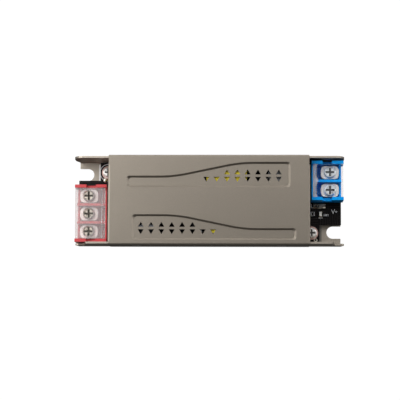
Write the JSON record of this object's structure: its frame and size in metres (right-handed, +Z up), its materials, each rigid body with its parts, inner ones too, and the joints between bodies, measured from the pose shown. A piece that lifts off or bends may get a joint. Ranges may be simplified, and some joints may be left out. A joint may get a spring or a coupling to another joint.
{
  "type": "led power supply",
  "caption": "Slim metal-cased LED power supply with an embossed vented cover, an open-ended base channel and screw terminal blocks under hinged clear flaps.",
  "frame": {"origin": "middle of the base channel's underside", "axes": "+X along the case towards the blue output block, +Y across it towards the back wall, +Z up through the vented cover"},
  "size_m": [0.1432, 0.0476, 0.0226],
  "materials": {
    "painted_sheet": "satin champagne-grey paint on folded sheet metal",
    "plated_steel": "zinc-plated steel, worn bright",
    "tinned_brass": "tin-plated contact metal",
    "board_black": "black solder mask on glass-fibre laminate",
    "film_white": "thin translucent insulating film",
    "red_moulding": "red moulded plastic",
    "blue_moulding": "blue moulded plastic",
    "clear_moulding": "clear moulded plastic, slightly hazy",
    "ferrite": "dark grey pressed ferrite",
    "black_moulding": "black moulded plastic",
    "copper_wire": "enamelled copper wire",
    "yellow_tape": "yellow polyester tape",
    "can_sleeve": "dark shrink sleeve on an aluminium can",
    "ring_green": "coated ring core",
    "ring_yellow": "coated powder ring core",
    "film_capacitor_box": "moulded capacitor box",
    "blue_coating": "blue dipped coating",
    "green_coating": "dark green dipped coating",
    "fuse_body": "ceramic fuse body with plated ends",
    "bare_aluminium": "bare aluminium plate",
    "led_white": "white light-emitting diode body",
    "chip_ceramic": "chip parts with tinned ends"
  },
  "bodies": {
    "case": {"base_channel": "painted_sheet", "top_cover": "painted_sheet", "cover_screws": "plated_steel", "board_standoffs": "plated_steel", "board_screws": "plated_steel", "input_lugs": "tinned_brass", "output_lugs": "tinned_brass", "circuit_board": "board_black", "insulating_film": "film_white", "input_block": "red_moulding", "output_block": "blue_moulding", "transformer_core": "ferrite", "transformer_bobbin": "black_moulding", "bridge_rectifier": "black_moulding", "switching_transistor": "black_moulding", "output_rectifier": "black_moulding", "control_chip": "black_moulding", "optocoupler": "black_moulding", "transformer_winding": "copper_wire", "choke_windings": "copper_wire", "inductor_winding": "copper_wire", "transformer_tape": "yellow_tape", "bulk_capacitor": "can_sleeve", "output_capacitors": "can_sleeve", "choke_core": "ring_green", "inductor_core": "ring_yellow", "filter_capacitor": "film_capacitor_box", "safety_capacitor": "blue_coating", "varistor": "blue_coating", "thermistor": "green_coating", "fuse": "fuse_body", "primary_heatsink": "bare_aluminium", "secondary_heatsink": "bare_aluminium", "indicator_led": "led_white", "surface_parts": "chip_ceramic"},
    "input_flap": {"input_flap": "clear_moulding"},
    "output_flap": {"output_flap": "clear_moulding"},
    "input_clamp_1": {"input_clamp_1": "plated_steel"},
    "input_screw_1": {"input_screw_1": "plated_steel"},
    "input_clamp_2": {"input_clamp_2": "plated_steel"},
    "input_screw_2": {"input_screw_2": "plated_steel"},
    "input_clamp_3": {"input_clamp_3": "plated_steel"},
    "input_screw_3": {"input_screw_3": "plated_steel"},
    "output_clamp_1": {"output_clamp_1": "plated_steel"},
    "output_screw_1": {"output_screw_1": "plated_steel"},
    "output_clamp_2": {"output_clamp_2": "plated_steel"},
    "output_screw_2": {"output_screw_2": "plated_steel"}
  },
  "joints": [
    {"name": "input_flap_hinge", "type": "hinge", "parent": "case", "child": "input_flap", "pos_m": [-0.0559, -0.0068, 0.0173], "axis": [0, 1, 0], "range_deg": [0, 95]},
    {"name": "output_flap_hinge", "type": "hinge", "parent": "case", "child": "output_flap", "pos_m": [0.0559, 0.01065, 0.0173], "axis": [0, -1, 0], "range_deg": [0, 95]},
    {"name": "input_clamp_1_slide", "type": "slide", "parent": "case", "child": "input_clamp_1", "axis": [0, 0, 1], "range_m": [0, 0.0018]},
    {"name": "input_screw_1_turn", "type": "hinge", "parent": "input_clamp_1", "child": "input_screw_1", "pos_m": [-0.064, 0.0027, 0.0125], "axis": [0, 0, 1], "range_deg": [0, 1081]},
    {"name": "input_clamp_2_slide", "type": "slide", "parent": "case", "child": "input_clamp_2", "axis": [0, 0, 1], "range_m": [0, 0.0018]},
    {"name": "input_screw_2_turn", "type": "hinge", "parent": "input_clamp_2", "child": "input_screw_2", "pos_m": [-0.064, -0.0068, 0.0125], "axis": [0, 0, 1], "range_deg": [0, 1081]},
    {"name": "input_clamp_3_slide", "type": "slide", "parent": "case", "child": "input_clamp_3", "axis": [0, 0, 1], "range_m": [0, 0.0018]},
    {"name": "input_screw_3_turn", "type": "hinge", "parent": "input_clamp_3", "child": "input_screw_3", "pos_m": [-0.064, -0.0163, 0.0125], "axis": [0, 0, 1], "range_deg": [0, 1081]},
    {"name": "output_clamp_1_slide", "type": "slide", "parent": "case", "child": "output_clamp_1", "axis": [0, 0, 1], "range_m": [0, 0.0018]},
    {"name": "output_screw_1_turn", "type": "hinge", "parent": "output_clamp_1", "child": "output_screw_1", "pos_m": [0.064, 0.0154, 0.0125], "axis": [0, 0, 1], "range_deg": [0, 1081]},
    {"name": "output_clamp_2_slide", "type": "slide", "parent": "case", "child": "output_clamp_2", "axis": [0, 0, 1], "range_m": [0, 0.0018]},
    {"name": "output_screw_2_turn", "type": "hinge", "parent": "output_clamp_2", "child": "output_screw_2", "pos_m": [0.064, 0.0059, 0.0125], "axis": [0, 0, 1], "range_deg": [0, 1081]}
  ],
  "couplings": [
    {"joint": "input_screw_1_turn", "follows": "input_clamp_1_slide", "rad_per_m": 10472},
    {"joint": "input_screw_2_turn", "follows": "input_clamp_2_slide", "rad_per_m": 10472},
    {"joint": "input_screw_3_turn", "follows": "input_clamp_3_slide", "rad_per_m": 10472},
    {"joint": "output_screw_1_turn", "follows": "output_clamp_1_slide", "rad_per_m": 10472},
    {"joint": "output_screw_2_turn", "follows": "output_clamp_2_slide", "rad_per_m": 10472}
  ]
}
